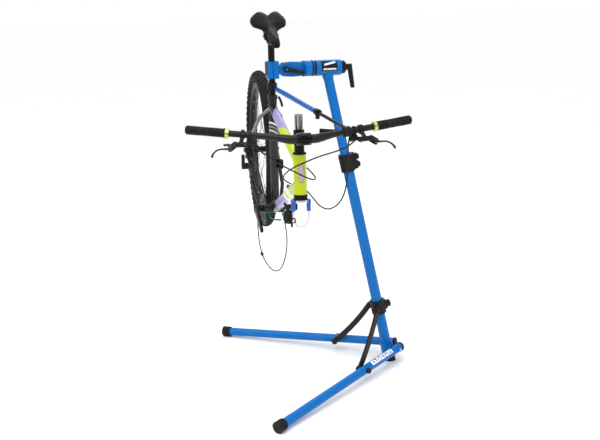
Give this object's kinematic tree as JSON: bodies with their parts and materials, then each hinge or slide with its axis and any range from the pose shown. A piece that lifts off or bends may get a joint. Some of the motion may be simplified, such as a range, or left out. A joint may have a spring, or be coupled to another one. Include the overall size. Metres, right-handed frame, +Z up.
{
  "type": "bicycle on repair stand",
  "caption": "Hardtail mountain bicycle without front wheel, held by its seat post in a folding two-leg repair stand with a leaning telescopic mast and clamp head.",
  "frame": {"origin": "on the floor, under the foot of the stand's mast", "axes": "+Z up; the legs spread and the mast leans towards -X; the bicycle faces -Y"},
  "size_m": [1.0345, 1.4852, 1.5745],
  "materials": {
    "blue_paint": "glossy powder coat",
    "black_metal": "satin black",
    "black_plastic": "moulded, matte",
    "black_rubber": "matte",
    "black_alloy": "black anodised",
    "saddle_cover": "synthetic cover, satin",
    "frame_black": "satin paint",
    "frame_lavender": "satin paint fading to lime",
    "frame_lime": "satin paint",
    "frame_grey": "satin paint",
    "blue_anodised": "anodised",
    "silver_steel": "polished",
    "steel_gears": "oiled steel",
    "tyre": "knobbed rubber",
    "hose": "satin sleeve"
  },
  "bodies": {
    "base": {"mast_foot": "black_rubber", "lower_mast": "blue_paint", "leg_bracket": "blue_paint", "height_clamp": "black_plastic"},
    "leg_far": {"leg_far": "blue_paint", "leg_caps_far": "black_rubber"},
    "leg_near": {"leg_near": "blue_paint", "leg_caps_near": "black_rubber"},
    "strut_far": {"strut_far": "black_metal"},
    "strut_near": {"strut_near": "black_metal"},
    "leg_collar": {"leg_collar": "black_plastic"},
    "leg_collar_knob": {"leg_collar_knob": "black_plastic"},
    "height_lever_upper": {"height_lever_upper": "black_plastic"},
    "height_lever_lower": {"height_lever_lower": "black_plastic"},
    "upper_mast": {"upper_mast": "blue_paint", "head_barrel": "blue_paint"},
    "moving_jaw": {"moving_jaw": "blue_paint", "moving_jaw_pad": "black_rubber"},
    "cam_lever": {"cam_lever": "black_metal"},
    "lock_lever": {"lock_lever": "black_plastic"},
    "seat_lever": {"seat_lever": "black_metal"},
    "crank_set": {"cranks": "black_alloy", "chainring": "black_metal"},
    "cassette": {"cassette": "steel_gears"},
    "guide_pulley": {"guide_pulley": "black_plastic"},
    "tension_pulley": {"tension_pulley": "black_plastic"},
    "rear_wheel": {"rear_tyre": "tyre", "rear_rim": "black_alloy", "rear_hub": "black_alloy"},
    "brake_blade_left": {"brake_blade_left": "black_metal"},
    "brake_blade_right": {"brake_blade_right": "black_metal"},
    "shift_lever": {"shift_lever": "black_plastic"},
    "clamp_head": {"clamp_shaft": "black_metal", "clamp_arm": "blue_paint", "fixed_jaw_pad": "black_rubber", "seat_post": "black_alloy", "saddle_rails": "black_alloy", "saddle": "saddle_cover", "seat_tube": "frame_black", "top_tube": "frame_lavender", "down_tube": "frame_lavender", "head_tube": "frame_lime", "chain_stays": "frame_black", "seat_stays": "frame_grey", "steerer": "silver_steel", "fork_stub": "blue_anodised", "stem_and_headset": "black_alloy", "handlebar": "black_alloy", "grips": "black_rubber", "control_bodies": "black_plastic", "chain": "steel_gears", "rear_derailleur": "black_metal", "rear_caliper": "black_metal", "holder_clamps": "black_plastic", "holder_tube": "blue_paint", "holder_rod": "black_metal", "left_brake_hose": "hose", "right_brake_hose": "hose", "shift_housing": "hose", "hanging_housing": "hose"}
  },
  "joints": [
    {"name": "collar_slide", "type": "slide", "parent": "base", "child": "leg_collar", "axis": [-0.2113, 0, 0.9774], "range_m": [0, 0.19594]},
    {"name": "leg_far_fold", "type": "hinge", "parent": "base", "child": "leg_far", "pos_m": [0.01, 0.0495, 0.0674], "axis": [0.5683, 0.8136, 0.1229], "range_deg": [-0.01, 36.05]},
    {"name": "strut_far_swing", "type": "hinge", "parent": "leg_collar", "child": "strut_far", "pos_m": [-0.08052, 0.04988, 0.2619], "axis": [-0.5683, -0.8136, -0.1229], "range_deg": [-0.01, 18.06]},
    {"name": "leg_near_fold", "type": "hinge", "parent": "base", "child": "leg_near", "pos_m": [0.01, -0.0495, 0.0674], "axis": [-0.5683, 0.8136, -0.1229], "range_deg": [-0.01, 36.05]},
    {"name": "strut_near_swing", "type": "hinge", "parent": "leg_collar", "child": "strut_near", "pos_m": [-0.08052, -0.04988, 0.2619], "axis": [0.5683, -0.8136, 0.1229], "range_deg": [-0.01, 18.06]},
    {"name": "collar_knob_turn", "type": "hinge", "parent": "leg_collar", "child": "leg_collar_knob", "pos_m": [-0.01762, 0, 0.2755], "axis": [0.9774, 0, 0.2113], "range_deg": [-180, 180]},
    {"name": "height_lever_upper_turn", "type": "hinge", "parent": "base", "child": "height_lever_upper", "pos_m": [-0.16911, 0, 0.96199], "axis": [0, -1, 0], "range_deg": [0, 70]},
    {"name": "height_lever_lower_turn", "type": "hinge", "parent": "base", "child": "height_lever_lower", "pos_m": [-0.16193, 0, 0.92876], "axis": [0, 1, 0], "range_deg": [0, 70]},
    {"name": "mast_height", "type": "slide", "parent": "base", "child": "upper_mast", "axis": [-0.2113, 0, 0.9774], "range_m": [-0.3, 0]},
    {"name": "head_turn", "type": "hinge", "parent": "upper_mast", "child": "clamp_head", "pos_m": [-0.2907, 0, 1.34395], "axis": [-1, 0, 0], "range_deg": [-45, 90]},
    {"name": "lock_lever_turn", "type": "hinge", "parent": "clamp_head", "child": "lock_lever", "pos_m": [-0.19, 0, 1.34395], "axis": [1, 0, 0], "range_deg": [-180, 0]},
    {"name": "cam_lever_turn", "type": "hinge", "parent": "clamp_head", "child": "cam_lever", "pos_m": [-0.468, -0.026, 1.34595], "axis": [0, 1, 0], "range_deg": [0, 90]},
    {"name": "jaw_slide", "type": "slide", "parent": "clamp_head", "child": "moving_jaw", "axis": [-1, 0, 0], "range_m": [-0.0001, 0.0151]},
    {"name": "seat_lever_turn", "type": "hinge", "parent": "clamp_head", "child": "seat_lever", "pos_m": [-0.49798, -0.0084, 1.232], "axis": [-0.0935, -0.9956, 0], "range_deg": [0, 100]},
    {"name": "crank_spin", "type": "hinge", "parent": "clamp_head", "child": "crank_set", "pos_m": [-0.5233, 0, 0.765], "axis": [0.9956, -0.0935, 0], "continuous": true},
    {"name": "cassette_spin", "type": "hinge", "parent": "clamp_head", "child": "cassette", "pos_m": [-0.48685, 0.38829, 0.953], "axis": [0.9956, -0.0935, 0], "continuous": true},
    {"name": "guide_pulley_spin", "type": "hinge", "parent": "clamp_head", "child": "guide_pulley", "pos_m": [-0.53395, 0.41079, 0.874], "axis": [0.9956, -0.0935, 0], "continuous": true},
    {"name": "tension_pulley_spin", "type": "hinge", "parent": "clamp_head", "child": "tension_pulley", "pos_m": [-0.5375, 0.37296, 0.803], "axis": [0.9956, -0.0935, 0], "continuous": true},
    {"name": "wheel_spin", "type": "hinge", "parent": "clamp_head", "child": "rear_wheel", "pos_m": [-0.48685, 0.38829, 0.953], "axis": [0.9956, -0.0935, 0], "continuous": true},
    {"name": "brake_right_pull", "type": "hinge", "parent": "clamp_head", "child": "brake_blade_right", "pos_m": [-0.83925, -0.66526, 1.14319], "axis": [0.1152, 0.7424, -0.6599], "range_deg": [0, 14], "stiffness_Nm_per_rad": 2, "springref_deg": -8.59},
    {"name": "brake_left_pull", "type": "hinge", "parent": "clamp_head", "child": "brake_blade_left", "pos_m": [-0.33668, -0.71244, 1.14319], "axis": [-0.0249, -0.7509, 0.6599], "range_deg": [0, 14], "stiffness_Nm_per_rad": 2, "springref_deg": -8.59},
    {"name": "shift_lever_push", "type": "hinge", "parent": "clamp_head", "child": "shift_lever", "pos_m": [-0.76858, -0.63346, 1.13939], "axis": [-0.0187, -0.1991, 0.9798], "range_deg": [0, 14], "stiffness_Nm_per_rad": 1, "springref_deg": -5.73}
  ],
  "couplings": [
    {"joint": "leg_far_fold", "follows": "collar_slide", "rad_per_m": 3.2067},
    {"joint": "strut_far_swing", "follows": "collar_slide", "rad_per_m": 1.6039},
    {"joint": "leg_near_fold", "follows": "collar_slide", "rad_per_m": 3.2067},
    {"joint": "strut_near_swing", "follows": "collar_slide", "rad_per_m": 1.6039},
    {"joint": "jaw_slide", "follows": "cam_lever_turn", "m_per_rad": 0.009549},
    {"joint": "cassette_spin", "follows": "crank_spin", "ratio": 1.4545},
    {"joint": "guide_pulley_spin", "follows": "crank_spin", "ratio": -2.9091},
    {"joint": "tension_pulley_spin", "follows": "crank_spin", "ratio": 2.9091}
  ]
}
